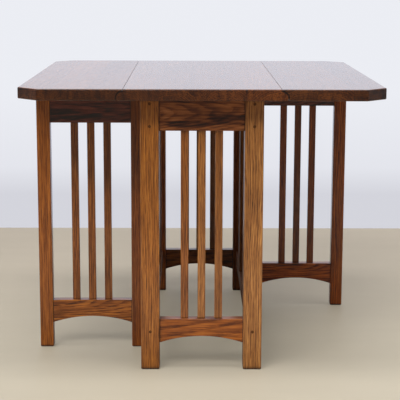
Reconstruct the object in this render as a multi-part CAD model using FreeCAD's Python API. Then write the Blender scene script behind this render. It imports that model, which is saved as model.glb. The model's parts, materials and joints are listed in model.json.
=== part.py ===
"""Butterfly gate-leg table: a fixed centre top, two drop leaves on rule joints, a slatted
oak frame, and two gates that swing out of its sides to carry the leaves.

Millimetres. The origin is on the floor under the middle of the top, and +Z is up. The seams
between the boards run along Y, and the leaves reach out towards -X and +X.

The table looks the same after half a turn about Z. So the pieces of the front end, the left
side, the left gate and the right leaf are drawn, and each twin is one of them turned round.
"""
import FreeCAD, Part
import math
import os
from collections import namedtuple

V = FreeCAD.Vector

# ---- The top ---------------------------------------------------------------------------------
table_height = 740.0
top_thickness = 29.0
top_depth = 990.0           # along the seams
centre_width = 394.0        # from seam to seam
leaf_width = 266.0
corner_clip = 52.0          # each way, at the four outer corners
outline_round = 3.0         # upper and lower edges of the outline
seam_chamfer = 0.8

# ---- The rule joint between the centre board and a leaf --------------------------------------
rule_step = 5.0             # upright step below the top face, before the quarter round
rule_radius = 17.0
rule_gap = 0.8              # between the round and the cove, and at the step

# ---- The frame -------------------------------------------------------------------------------
side_overhang = 40.0        # from the posts out to each seam
end_overhang = 60.0         # from the posts out to the top's front and rear edges
post_size = 48.0
post_chamfer = 1.5
foot_chamfer = 3.0
rail_thickness = 28.0
rail_chamfer = 1.0
top_rail_height = 83.0
bottom_rail_top = 134.0     # height of its upper edge over the floor
bottom_rail_height = 64.0   # at the ends, beside the arch
arch_rise = 18.0
stretcher_height = 42.0
mullion_width = 100.0

# ---- Slats, in the ends of the frame and in the gates ----------------------------------------
slat_count = 3
slat_width = 20.0
slat_thickness = 12.0
slat_pitch = 44.0
slat_housing = 8.0          # how far its ends go into the rails

# ---- Tenons ----------------------------------------------------------------------------------
tenon_thickness = 10.0
tenon_shoulder = 8.0        # above and below the tenon
end_tenon_length = 30.0     # rails of the ends
side_tenon_length = 16.0    # aprons and stretchers
mullion_tenon_length = 8.0
gate_tenon_length = 24.0
tenon_clearance = 0.1

# ---- The gates -------------------------------------------------------------------------------
gate_setback = 20.0         # from the leaf's outer edge back to the gate's far leg
gate_thickness = 32.0
gate_leg_width = 36.0
gate_rail_thickness = 26.0
gate_top_rail_height = 85.0
gate_inset = 198.5          # from the frame's front face back to the gate's front face
gate_top_gap = 1.0          # below the leaf
gate_floor_gap = 1.0
gate_leg_chamfer = 1.5
stop_length = 60.0          # block under the leaf that halts the open gate
stop_width = 16.0
stop_height = 12.0
stop_inset = 14.0           # from the gate's far edge
stop_gap = 0.3

# ---- Butt hinges of the gates ----------------------------------------------------------------
gate_hinge_length = 64.0
gate_hinge_barrel = 3.2
gate_hinge_pin = 1.6
gate_hinge_plate = 1.8
gate_hinge_offset = 2.0     # from the pin's axis to the wood, on both sides
gate_hinge_width = 24.0
gate_hinge_middle = 26.0
gate_hinge_inset = 66.0     # from each rail to the middle of the nearer hinge
gate_edge_gap = 5.0         # from the pin's axis to the stile's edge
mullion_edge_gap = 4.0      # from the pin's axis to the mullion's edge

# ---- Drop-leaf hinges, let into the underside ------------------------------------------------
leaf_hinge_length = 64.0
leaf_hinge_barrel = 3.0
leaf_hinge_pin = 1.5
leaf_hinge_plate = 2.0
leaf_hinge_start = 9.0      # from the pin's axis to the near edge of each plate
leaf_hinge_short = 24.0
leaf_hinge_long = 50.0
leaf_hinge_middle = 26.0
leaf_hinge_inset = 165.0    # from the top's ends to the middles of the outer hinges
recess_clearance = 0.3
barrel_clearance = 0.5

# ---- What all hinges share -------------------------------------------------------------------
knuckle_gap = 0.3
pin_clearance = 0.08        # radial, in the half that turns

# ---- Buttons that hold the top down ----------------------------------------------------------
button_length = 30.0
button_width = 25.0
button_height = 20.0
button_gap = 1.0            # from the block to the rail's face
tongue_length = 6.0
tongue_drop = 12.0          # from the underside of the top to the tongue
groove_depth = 8.0
groove_slack = 0.5
side_button_inset = 137.0   # from a post to the middle of the nearer button

# ---- Worked out from the sizes above ---------------------------------------------------------
underside = table_height - top_thickness
seam_x = centre_width / 2
leaf_edge_x = seam_x + leaf_width
top_edge_y = top_depth / 2
leaf_hinge_places = (leaf_hinge_inset - top_edge_y, 0, top_edge_y - leaf_hinge_inset)
leaf_axis_z = table_height - rule_step - rule_radius

frame_x = seam_x - side_overhang
frame_y = top_edge_y - end_overhang
post_x = frame_x - post_size / 2
post_y = frame_y - post_size / 2
post_inner_x = frame_x - post_size
post_inner_y = frame_y - post_size
top_rail_z = (underside - top_rail_height, underside)
bottom_rail_z = (bottom_rail_top - bottom_rail_height, bottom_rail_top)
stretcher_z = (bottom_rail_top - stretcher_height, bottom_rail_top)
side_button_y = post_inner_y - side_button_inset

side_face_x = post_x + rail_thickness / 2
hinge_x = -(side_face_x + gate_hinge_offset)
gate_front_y = gate_inset - frame_y
gate_back_y = gate_front_y + gate_thickness
gate_y = (gate_front_y, gate_back_y)
gate_middle_y = (gate_front_y + gate_back_y) / 2
hinge_y = gate_back_y + gate_hinge_offset
gate_inner_x = hinge_x - gate_edge_gap
gate_outer_x = gate_setback - leaf_edge_x
gate_rails_x = (gate_outer_x + gate_leg_width, gate_inner_x - gate_leg_width)
gate_z = (gate_floor_gap, underside - gate_top_gap)
gate_top_rail_z = (gate_z[1] - gate_top_rail_height, gate_z[1])
gate_hinge_heights = (bottom_rail_top + gate_hinge_inset, top_rail_z[0] - gate_hinge_inset)
mullion_y = hinge_y + mullion_edge_gap + mullion_width / 2

ORIGIN = V(0, 0, 0)
X = V(1, 0, 0)
Y = V(0, 1, 0)
Z = V(0, 0, 1)

HingeSize = namedtuple("HingeSize", "length barrel pin plate start offset middle")
GATE_HINGE = HingeSize(gate_hinge_length, gate_hinge_barrel, gate_hinge_pin, gate_hinge_plate,
                       gate_hinge_barrel + knuckle_gap, gate_hinge_offset, gate_hinge_middle)
LEAF_HINGE = HingeSize(leaf_hinge_length, leaf_hinge_barrel, leaf_hinge_pin, leaf_hinge_plate,
                       leaf_hinge_start, leaf_axis_z - underside, leaf_hinge_middle)


# ---- Small helpers ---------------------------------------------------------------------------

def about(middle, size):
    """The span of a given size about its middle."""
    return (middle - size / 2, middle + size / 2)


def box(x_span, y_span, z_span):
    """A box that fills three (low, high) spans."""
    corner = V(x_span[0], y_span[0], z_span[0])
    return Part.makeBox(x_span[1] - x_span[0], y_span[1] - y_span[0], z_span[1] - z_span[0], corner)


def grown(spans, x_room, y_room, z_room):
    """Three spans, each made longer at both ends by the room it is given."""
    rooms = (x_room, y_room, z_room)
    return [(low - room, high + room) for (low, high), room in zip(spans, rooms)]


def turned(shape):
    """The twin of a shape, half a turn about Z."""
    twin = shape.copy()
    twin.rotate(ORIGIN, Z, 180)
    return twin


def placed(shape, origin, x_direction, y_direction):
    """A shape moved from its own axes to an origin and two directions of the table."""
    z_direction = x_direction.cross(y_direction)
    columns = (x_direction, y_direction, z_direction, origin)
    rows = [[getattr(column, name) for column in columns] for name in ("x", "y", "z")]
    return shape.transformed(FreeCAD.Matrix(*rows[0], *rows[1], *rows[2], 0, 0, 0, 1))


def edges_along(shape, direction):
    """The straight edges of a shape that run along a direction."""
    found = []
    for edge in shape.Edges:
        run = edge.Vertexes[-1].Point - edge.Vertexes[0].Point
        if isinstance(edge.Curve, Part.Line) and run.cross(direction).Length < 1e-6:
            found.append(edge)
    return found


def eased_bar(spans, direction, chamfer):
    """A box with its four edges along one direction chamfered."""
    bar = box(*spans)
    return bar.makeChamfer(chamfer, edges_along(bar, direction))


def prism(points, direction):
    """A closed polygon of points, drawn out along a vector."""
    return Part.Face(Part.makePolygon(points + points[:1])).extrude(direction)


def joined(shapes):
    """One solid of overlapping or touching shapes."""
    return shapes[0].multiFuse(shapes[1:]).removeSplitter()


# ---- Hinges, drawn with the pin along Z and a plate that reaches out along +X ----------------

def knuckle_spans(size, turns):
    """Where a hinge half has its knuckles: the middle one turns, and the outer two hold the pin."""
    half_middle = size.middle / 2
    if turns:
        return [(-half_middle, half_middle)]
    end = size.length / 2
    return [(-end, -half_middle - knuckle_gap), (half_middle + knuckle_gap, end)]


def strap(size, span):
    """The neck that joins a plate to its knuckle."""
    far_low = V(size.start, -size.offset, span[0])
    far_high = V(size.start, size.plate - size.offset, span[0])
    reach = (far_low + far_high) * 0.5 - Z * span[0]
    normal = Z.cross(reach).normalize() * (size.plate / 2)
    near_high = normal + Z * span[0]
    near_low = Z * span[0] - normal
    return prism([far_low, far_high, near_high, near_low], Z * (span[1] - span[0]))


def knuckled_plate(size, width, turns):
    """A plate with its straps and solid knuckles, at size.offset from the pin's axis."""
    plate_span = (-size.offset, size.plate - size.offset)
    pieces = [box((size.start, size.start + width), plate_span, about(0, size.length))]
    for span in knuckle_spans(size, turns):
        pieces.append(strap(size, span))
        pieces.append(Part.makeCylinder(size.barrel, span[1] - span[0], Z * span[0]))
    return pieces


def pin(size, clearance):
    """The pin of a hinge, or with a clearance the bore that turns on it."""
    return Part.makeCylinder(size.pin + clearance, size.middle + 2 * knuckle_gap,
                             Z * (-size.middle / 2 - knuckle_gap))


def fixed_half(size, width):
    """The half whose two outer knuckles hold the pin between them."""
    return joined(knuckled_plate(size, width, False) + [pin(size, 0)])


def turning_half(size, width):
    """The half whose middle knuckle turns on the pin."""
    return joined(knuckled_plate(size, width, True)).cut(pin(size, pin_clearance))


# ---- The top ---------------------------------------------------------------------------------

def round_point(radius, drop):
    """The point of the rule joint's circle that lies a drop below its centre."""
    return V(seam_x + math.sqrt(radius ** 2 - drop ** 2), 0, leaf_axis_z - drop)


def centre_profile():
    """Half the centre board's section: step, quarter round, and the round carried on below."""
    below = leaf_axis_z - underside
    step_foot = V(seam_x, 0, leaf_axis_z + rule_radius)
    arc_end = round_point(rule_radius, below)
    arc = Part.Arc(step_foot, round_point(rule_radius, 0), arc_end).toShape()
    corners = [arc_end, V(0, 0, underside), V(0, 0, table_height),
               V(seam_x - seam_chamfer, 0, table_height),
               V(seam_x, 0, table_height - seam_chamfer), step_foot]
    return Part.Wire([arc] + Part.makePolygon(corners).Edges)


def leaf_profile():
    """The right leaf's section: its cove clears the round by the rule gap."""
    cove_radius = rule_radius + rule_gap
    lip_x = seam_x + rule_gap
    lip = V(lip_x, 0, leaf_axis_z + math.sqrt(cove_radius ** 2 - rule_gap ** 2))
    foot = round_point(cove_radius, 0)
    middle = V(seam_x + cove_radius * math.sqrt(0.5), 0, leaf_axis_z + cove_radius * math.sqrt(0.5))
    arc = Part.Arc(lip, middle, foot).toShape()
    corners = [foot, V(foot.x, 0, underside), V(leaf_edge_x, 0, underside),
               V(leaf_edge_x, 0, table_height), V(lip_x + seam_chamfer, 0, table_height),
               V(lip_x, 0, table_height - seam_chamfer), lip]
    return Part.Wire([arc] + Part.makePolygon(corners).Edges)


def board(profile):
    """A section in XZ drawn out along the whole depth of the top."""
    profile.translate(Y * -top_edge_y)
    return Part.Face(profile).extrude(Y * top_depth)


def outline_edges(shape, least_x):
    """The upper and lower edges of a board's outline, leaving out those along its seam."""
    found = []
    for edge in shape.Edges:
        bounds = edge.BoundBox
        level = bounds.ZLength < 1e-6
        on_face = min(abs(bounds.ZMin - underside), abs(bounds.ZMin - table_height)) < 1e-6
        along_seam = bounds.XLength < 1e-6 and abs(bounds.Center.x) < least_x
        if level and on_face and not along_seam:
            found.append(edge)
    return found


def corner_cutter(side):
    """The wedge that clips the right leaf's corner at its front (-1) or rear (+1) end."""
    tip = V(leaf_edge_x, side * top_edge_y, underside)
    back = tip + V(-corner_clip, 0, 0)
    down = tip + V(0, -side * corner_clip, 0)
    beyond = V(corner_clip, side * corner_clip, 0)
    return prism([back, back + beyond, down + beyond, down], Z * top_thickness)


def plain_centre():
    """The centre board before its hinges and buttons are let in."""
    right = board(centre_profile())
    both = joined([right, turned(right)])
    return both.makeFillet(outline_round, outline_edges(both, leaf_edge_x))


def plain_right_leaf():
    """The right leaf before its hinges are let in."""
    leaf = board(leaf_profile()).cut([corner_cutter(-1), corner_cutter(1)])
    return leaf.makeFillet(outline_round, outline_edges(leaf, leaf_edge_x - 1))


# ---- Drop-leaf hinges of the right leaf ------------------------------------------------------

def at_right_hinges(shapes, outward):
    """Shapes in a hinge's own axes, moved to each hinge of the right seam."""
    return [placed(shape, V(seam_x, y, leaf_axis_z), X if outward else X * -1, Z)
            for y in leaf_hinge_places for shape in shapes]


def plate_recess(width):
    """Room for a plate that lies flush in the underside."""
    low = -LEAF_HINGE.offset - recess_clearance
    return box((LEAF_HINGE.start, LEAF_HINGE.start + width + recess_clearance),
               (low, LEAF_HINGE.plate - LEAF_HINGE.offset),
               about(0, LEAF_HINGE.length + 2 * recess_clearance))


def barrel_groove():
    """Room for the barrel, and for the straps as the leaf drops, in the centre board."""
    reach = rule_radius + rule_gap
    return box((-reach, LEAF_HINGE.start + recess_clearance),
               (-LEAF_HINGE.offset - recess_clearance, LEAF_HINGE.barrel + barrel_clearance),
               about(0, LEAF_HINGE.length + 2 * recess_clearance))


# ---- Buttons, drawn with +X away from the rail and zero at the underside of the top ----------

def button():
    """A block whose tongue hooks into the groove of a rail."""
    block = box((button_gap, button_gap + button_length), about(0, button_width),
                (-button_height, 0))
    tongue = box((-tongue_length, button_gap), about(0, button_width),
                 (-button_height, -tongue_drop))
    return joined([block, tongue])


def button_places():
    """The rail faces that carry buttons on the left side and at the front: place and direction."""
    side_x = side_face_x - rail_thickness
    end_y = post_y - rail_thickness / 2
    places = [(V(-side_x, y, underside), X, Y) for y in (-side_button_y, 0, side_button_y)]
    places.append((V(0, -end_y, underside), Y, X * -1))
    return places


def at_buttons(shape):
    """Copies of a shape at every button of the table."""
    near = [placed(shape, *place) for place in button_places()]
    return near + [turned(item) for item in near]


def groove_z():
    """The height of the groove that the tongues hook into."""
    return (underside - button_height - groove_slack, underside - tongue_drop)


# ---- Ends of the frame -----------------------------------------------------------------------

def end_tenon(z_span):
    """The spans of the tenons of a front rail, from post to post."""
    reach = post_inner_x + end_tenon_length
    return [(-reach, reach), about(-post_y, tenon_thickness),
            (z_span[0] + tenon_shoulder, z_span[1] - tenon_shoulder)]


def slat_spans(index, z_span, middle_x, middle_y):
    """The spans of one slat, with its ends housed in the rails."""
    x = middle_x + (index - (slat_count - 1) / 2) * slat_pitch
    return [about(x, slat_width), about(middle_y, slat_thickness),
            (z_span[0] - slat_housing, z_span[1] + slat_housing)]


def slat_housings(z_span, middle_x, middle_y):
    """The housings of a row of slats, cut from the rails above and below."""
    return [box(*grown(slat_spans(index, z_span, middle_x, middle_y),
                       tenon_clearance, tenon_clearance, 0))
            for index in range(slat_count)]


def end_slats_z():
    """The height between the rails of an end."""
    return (bottom_rail_top, top_rail_z[0])


def front_top_rail():
    """The plain rail under the top's front edge, grooved for its button."""
    y_span = about(-post_y, rail_thickness)
    bar = eased_bar([(-post_inner_x, post_inner_x), y_span, top_rail_z], X, rail_chamfer)
    rail = joined([bar, box(*end_tenon(top_rail_z))])
    groove = box((-post_inner_x, post_inner_x), (y_span[1] - groove_depth, y_span[1]), groove_z())
    return rail.cut([groove] + slat_housings(end_slats_z(), 0, -post_y))


def arched_bar(x_span, y_span, z_span):
    """A rail whose underside is one shallow arch from end to end."""
    (left, right), (bottom, top) = x_span, z_span
    middle = (left + right) / 2
    start = V(left, y_span[0], bottom)
    end = V(right, y_span[0], bottom)
    arch = Part.Arc(start, V(middle, y_span[0], bottom + arch_rise), end).toShape()
    sides = Part.makePolygon([end, V(right, y_span[0], top), V(left, y_span[0], top), start])
    bar = Part.Face(Part.Wire([arch] + sides.Edges)).extrude(Y * (y_span[1] - y_span[0]))
    long_edges = [edge for edge in bar.Edges if edge.BoundBox.XLength > (right - left) / 2]
    return bar.makeChamfer(rail_chamfer, long_edges)


def front_bottom_rail():
    """The arched rail low between the front posts."""
    bar = arched_bar((-post_inner_x, post_inner_x), about(-post_y, rail_thickness), bottom_rail_z)
    tenon = box(*end_tenon(bottom_rail_z))
    under_arch = bottom_rail_z[0] + arch_rise
    inner = (-post_inner_x, post_inner_x)
    relief = box(inner, about(-post_y, rail_thickness), (bottom_rail_z[0], under_arch))
    rail = joined([bar, tenon.cut(relief)])
    return rail.cut(slat_housings(end_slats_z(), 0, -post_y))


# ---- Sides of the frame ----------------------------------------------------------------------

def side_tenon(z_span):
    """The spans of the tenons of a left apron or stretcher, from post to post."""
    reach = post_inner_y + side_tenon_length
    return [about(-post_x, tenon_thickness), (-reach, reach),
            (z_span[0] + tenon_shoulder, z_span[1] - tenon_shoulder)]


def mullion_tenon(side):
    """The spans of a left mullion's stub tenons: the front one (-1) or the rear one (+1)."""
    return [about(-post_x, tenon_thickness),
            about(side * abs(mullion_y), mullion_width - 2 * tenon_shoulder),
            (bottom_rail_top - mullion_tenon_length, top_rail_z[0] + mullion_tenon_length)]


def mullion_mortises():
    """The mortises of both left mullions."""
    return [box(*grown(mullion_tenon(side), tenon_clearance, tenon_clearance, 0))
            for side in (-1, 1)]


def side_rail(z_span):
    """A left rail from post to post, with its tenons, before anything is cut."""
    bar = eased_bar([about(-post_x, rail_thickness), (-post_inner_y, post_inner_y), z_span],
                    Y, rail_chamfer)
    return joined([bar, box(*side_tenon(z_span))])


def left_apron():
    """The rail under the left side of the top, grooved for its buttons."""
    inner_x = -(side_face_x - rail_thickness)
    groove = box((inner_x - groove_depth, inner_x), (-post_inner_y, post_inner_y), groove_z())
    return side_rail(top_rail_z).cut([groove] + mullion_mortises())


def left_stretcher():
    """The low rail between the left posts."""
    return side_rail(stretcher_z).cut(mullion_mortises())


def left_mullion(side):
    """A wide upright between apron and stretcher. One of each pair carries a gate."""
    spans = [about(-post_x, rail_thickness), about(side * abs(mullion_y), mullion_width),
             (bottom_rail_top, top_rail_z[0])]
    return joined([eased_bar(spans, Z, rail_chamfer), box(*mullion_tenon(side))])


# ---- Posts -----------------------------------------------------------------------------------

def leg(x_span, y_span, z_span, chamfer):
    """A square leg with eased edges and a wider chamfer round its foot."""
    bar = box(x_span, y_span, z_span)
    foot_edges = [edge for edge in bar.Edges if abs(edge.BoundBox.ZMax - z_span[0]) < 1e-6]
    footed = bar.makeChamfer(foot_chamfer, foot_edges)
    return footed.common(eased_bar([x_span, y_span, z_span], Z, chamfer))


def front_post(side):
    """The front post on the left (-1) or the right (+1), mortised for four rails."""
    post = leg(about(side * post_x, post_size), about(-post_y, post_size), (0, underside),
               post_chamfer)
    cutters = [box(*grown(end_tenon(z_span), tenon_clearance, tenon_clearance, tenon_clearance))
               for z_span in (top_rail_z, bottom_rail_z)]
    for z_span in (top_rail_z, stretcher_z):
        tenon = box(*grown(side_tenon(z_span), tenon_clearance, tenon_clearance, tenon_clearance))
        cutters.append(tenon if side < 0 else turned(tenon))
    return post.cut(cutters)


# ---- The left gate ---------------------------------------------------------------------------

def gate_tenon(z_span):
    """The spans of the tenons of a gate rail, from leg to stile."""
    return [(gate_rails_x[0] - gate_tenon_length, gate_rails_x[1] + gate_tenon_length),
            about(gate_middle_y, tenon_thickness),
            (z_span[0] + tenon_shoulder, z_span[1] - tenon_shoulder)]


def gate_mortises():
    """The mortises of both gate rails, cut from the leg and the stile."""
    return [box(*grown(gate_tenon(z_span), tenon_clearance, tenon_clearance, tenon_clearance))
            for z_span in (gate_top_rail_z, bottom_rail_z)]


def gate_slats_z():
    """The height between the rails of a gate."""
    return (bottom_rail_z[1], gate_top_rail_z[0])


def gate_middle_x():
    """The middle of the opening between leg and stile."""
    return (gate_rails_x[0] + gate_rails_x[1]) / 2


def gate_slat_housings():
    """The housings of the gate's slats."""
    return slat_housings(gate_slats_z(), gate_middle_x(), gate_middle_y)


def left_gate_leg():
    """The far leg of the gate, down to the floor."""
    x_span = (gate_outer_x, gate_rails_x[0])
    return leg(x_span, gate_y, gate_z, gate_leg_chamfer).cut(gate_mortises())


def left_gate_stile():
    """The leg beside the frame, which carries the hinges."""
    x_span = (gate_rails_x[1], gate_inner_x)
    return leg(x_span, gate_y, gate_z, gate_leg_chamfer).cut(gate_mortises())


def left_gate_top_rail():
    """The rail that the leaf rests over."""
    bar = eased_bar([gate_rails_x, about(gate_middle_y, gate_rail_thickness), gate_top_rail_z],
                    X, rail_chamfer)
    return joined([bar, box(*gate_tenon(gate_top_rail_z))]).cut(gate_slat_housings())


def left_gate_bottom_rail():
    """The arched rail low in the gate."""
    y_span = about(gate_middle_y, gate_rail_thickness)
    bar = arched_bar(gate_rails_x, y_span, bottom_rail_z)
    relief = box(gate_rails_x, y_span, (bottom_rail_z[0], bottom_rail_z[0] + arch_rise))
    tenon = box(*gate_tenon(bottom_rail_z)).cut(relief)
    return joined([bar, tenon]).cut(gate_slat_housings())


def slat(index, z_span, middle_x, middle_y):
    """One slat with its long edges eased."""
    return eased_bar(slat_spans(index, z_span, middle_x, middle_y), Z, rail_chamfer)


def right_gate_stop():
    """The block under the right leaf that the open right gate comes up against."""
    far_x = -gate_outer_x - stop_inset
    face_y = -gate_front_y + stop_gap
    return box((far_x - stop_length, far_x), (face_y, face_y + stop_width),
               (underside - stop_height, underside))


# ---- Butt hinges of the left gate ------------------------------------------------------------

def at_gate_hinges(shape, on_gate):
    """Copies of a hinge half, moved from its own axes to both hinges of the left gate."""
    x_direction = X * -1 if on_gate else Y
    y_direction = Y if on_gate else X * -1
    return [placed(shape, V(hinge_x, hinge_y, z), x_direction, y_direction)
            for z in gate_hinge_heights]


# ---- The whole table -------------------------------------------------------------------------

def group(shapes):
    """Separate solids that share one node."""
    return Part.makeCompound(shapes)


def both_ways(shapes):
    """Shapes and their twins."""
    return shapes + [turned(shape) for shape in shapes]


def top_nodes():
    """The three boards, their hinges, and what holds the top to the frame."""
    centre_room = at_right_hinges([plate_recess(leaf_hinge_short), barrel_groove()], False)
    leaf_room = at_right_hinges([plate_recess(leaf_hinge_long)], True)
    leaf = plain_right_leaf().cut(leaf_room)
    plates = group(at_right_hinges([fixed_half(LEAF_HINGE, leaf_hinge_short)], False))
    flaps = group(at_right_hinges([turning_half(LEAF_HINGE, leaf_hinge_long)], True))
    stop = right_gate_stop()
    return {
        "centre_top": plain_centre().cut(both_ways(centre_room)),
        "right_leaf_board": leaf,
        "left_leaf_board": turned(leaf),
        "right_seam_plates": plates,
        "left_seam_plates": turned(plates),
        "right_leaf_flaps": flaps,
        "left_leaf_flaps": turned(flaps),
        "right_gate_stop": stop,
        "left_gate_stop": turned(stop),
        "top_buttons": group(at_buttons(button())),
    }


def frame_nodes():
    """Posts, rails, mullions and slats."""
    left_post = front_post(-1)
    right_post = front_post(1)
    top_rail = front_top_rail()
    bottom_rail = front_bottom_rail()
    apron = left_apron()
    stretcher = left_stretcher()
    nodes = {
        "front_left_post": left_post,
        "rear_right_post": turned(left_post),
        "front_right_post": right_post,
        "rear_left_post": turned(right_post),
        "front_top_rail": top_rail,
        "rear_top_rail": turned(top_rail),
        "front_bottom_rail": bottom_rail,
        "rear_bottom_rail": turned(bottom_rail),
        "left_apron": apron,
        "right_apron": turned(apron),
        "left_stretcher": stretcher,
        "right_stretcher": turned(stretcher),
    }
    for side, near, far in ((-1, "left_front", "right_rear"), (1, "left_rear", "right_front")):
        mullion = left_mullion(side)
        nodes[near + "_mullion"] = mullion
        nodes[far + "_mullion"] = turned(mullion)
    for index in range(slat_count):
        bar = slat(index, end_slats_z(), 0, -post_y)
        nodes[f"front_slat_{index + 1}"] = bar
        nodes[f"rear_slat_{index + 1}"] = turned(bar)
    return nodes


def gate_nodes():
    """The left gate with its hinges, and the right gate as its twin."""
    gate_plate = turning_half(GATE_HINGE, gate_hinge_width)
    frame_plate = fixed_half(GATE_HINGE, gate_hinge_width)
    pieces = {
        "leg": left_gate_leg(),
        "stile": left_gate_stile(),
        "top_rail": left_gate_top_rail(),
        "bottom_rail": left_gate_bottom_rail(),
        "hinge_plates": group(at_gate_hinges(gate_plate, True)),
        "frame_plates": group(at_gate_hinges(frame_plate, False)),
    }
    for index in range(slat_count):
        pieces[f"slat_{index + 1}"] = slat(index, gate_slats_z(), gate_middle_x(), gate_middle_y)
    nodes = {}
    for name, shape in pieces.items():
        nodes["left_gate_" + name] = shape
        nodes["right_gate_" + name] = turned(shape)
    return nodes


def main():
    """Write every node of the table."""
    os.makedirs("parts", exist_ok=True)
    nodes = {**top_nodes(), **frame_nodes(), **gate_nodes()}
    for name, shape in nodes.items():
        shape.exportStep(f"parts/{name}.step")
    print(len(nodes), "nodes")


main()
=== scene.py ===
"""Dresses the butterfly gate-leg table: stained oak with its own figure on every piece, dulled
brass hinges, wood screws and joint pegs, on a plain pale floor before a pale wall.

Metres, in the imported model's frame: +Z up, the seams of the top along Y, the viewer at -Y.
"""
import json
import math
import random

import bmesh
import bpy
from mathutils import Matrix, Vector


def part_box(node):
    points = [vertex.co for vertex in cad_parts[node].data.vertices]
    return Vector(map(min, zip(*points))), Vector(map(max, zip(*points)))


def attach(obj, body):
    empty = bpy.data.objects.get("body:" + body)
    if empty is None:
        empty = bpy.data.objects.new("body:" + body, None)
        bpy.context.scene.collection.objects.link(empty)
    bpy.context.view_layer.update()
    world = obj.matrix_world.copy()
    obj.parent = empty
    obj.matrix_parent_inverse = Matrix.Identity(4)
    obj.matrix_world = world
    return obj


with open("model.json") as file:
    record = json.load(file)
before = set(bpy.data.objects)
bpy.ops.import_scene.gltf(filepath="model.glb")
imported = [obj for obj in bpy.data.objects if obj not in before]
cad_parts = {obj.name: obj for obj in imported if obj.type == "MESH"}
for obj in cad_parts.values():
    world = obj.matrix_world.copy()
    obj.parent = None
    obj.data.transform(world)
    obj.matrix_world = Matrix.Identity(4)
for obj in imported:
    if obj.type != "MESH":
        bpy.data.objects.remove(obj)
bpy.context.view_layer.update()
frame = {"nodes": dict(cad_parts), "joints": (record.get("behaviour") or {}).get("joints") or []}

MM = 0.001
X, Y, Z = Vector((1, 0, 0)), Vector((0, 1, 0)), Vector((0, 0, 1))

# ---- The camera --------------------------------------------------------------------------------
CAMERA_PLACE = (-0.0277, -3.5753, 1.0297)
CAMERA_YAW = 0.00736            # radians towards +X
CAMERA_PITCH = 0.18205          # radians down
CAMERA_ROLL = 0.0034
CAMERA_LENS = 112.5             # mm, on Blender's own 36 mm sensor

# ---- The room ----------------------------------------------------------------------------------
WALL_Y = 1.39
FLOOR_REACH = 9.0
WALL_HEIGHT = 5.0
# Painted light on the floor: darker towards the back, and brighter to the right of the table.
FLOOR_NEAR = (0.392, 0.355, 0.286)
FLOOR_FAR = (0.350, 0.310, 0.250)
FLOOR_SHADE_SPAN = (-0.7, 1.2)  # depths between which the floor dims
FLOOR_SIDES = (0.97, 1.07)      # its brightness left and right of the table, for a key from the left
FLOOR_SIDE_REACH = 1.0          # how far to each side that change goes
FLOOR_THROWS = 0.34             # share of its colour that the floor throws back on the table
FLOOR_PATCHES = ((3.0, 9.0, 3.0), 3.0, 0.6)
FLOOR_MOTTLE = 0.14             # spread of its brightness in those patches
FLOOR_ROUGHNESS = 0.55
FLOOR_IOR = 1.35
FLOOR_SHOWN_NEAR = (0.92, 0.826, 0.62)
FLOOR_SHOWN_FAR = (0.63, 0.545, 0.43)
FLOOR_EVENNESS = 0.20           # how far the camera's view of the floor is evened out
WALL_COLOUR = (0.80, 0.81, 0.84)
# Painted shade: the wall is shown darker towards the floor, with a step near its foot.
WALL_SHOWN_HIGH = (0.835, 0.85, 0.90)
WALL_SHOWN_MIDDLE = (0.775, 0.785, 0.84)
WALL_SHOWN_LOW = (0.655, 0.66, 0.715)
WALL_MIRRORED = (0.80, 0.84, 0.95)
WALL_STOPS = ((0.14, WALL_SHOWN_LOW), (0.25, WALL_SHOWN_MIDDLE), (0.55, WALL_SHOWN_HIGH))
SKY_LIGHT = (0.86, 0.87, 1.0)
SKY_LOW = 0.05                  # light from the horizon
SKY_HIGH = 0.16                 # light from overhead
ROOM_GLOSS = 0.20               # what gloss sees on the viewer's side of the room
WALL_GLOSS = 0.85               # what it sees in the sky on the wall's side
GLOSS_SPAN = (-0.2, 0.9)        # directions along +Y between which one becomes the other
KEY_PLACE = (-2.25, -5.2, 6.15)
KEY_AIM = (0.0, -0.4, 0.3)
KEY_SIZE = (5.0, 1.8)
KEY_POWER = 392.0
KEY_COLOUR = (1.0, 0.965, 0.91)
TOP_LIGHT_PLACE = (0.0, -1.1, 8.0)
TOP_LIGHT_AIM = (0.0, -0.6, 0.0)
TOP_LIGHT_SIZE = (6.5, 2.2)
TOP_LIGHT_POWER = 560.0
TOP_LIGHT_COLOUR = (1.0, 0.98, 0.95)
BOUNCE_PLACE = (0.0, -0.88, 0.06)
BOUNCE_AIM = (0.0, -0.55, 0.90)
BOUNCE_SIZE = (1.5, 0.45)
BOUNCE_POWER = 3.3
BOUNCE_COLOUR = (1.0, 0.94, 0.96)

# ---- Oak ---------------------------------------------------------------------------------------
# Stops of the stained wood's colour, from pores to the palest late wood.
OAK_STOPS = (
    (0.00, (0.014, 0.0045, 0.0018)),
    (0.24, (0.056, 0.016, 0.0036)),
    (0.48, (0.145, 0.043, 0.0068)),
    (0.72, (0.285, 0.094, 0.0140)),
    (1.00, (0.500, 0.195, 0.0340)),
)
END_GRAIN = (0.26, 0.21, 0.22)  # how far cut ends drink the stain
END_FACING = (0.35, 0.65)       # how squarely a face looks along the grain: from side to cut end

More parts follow.
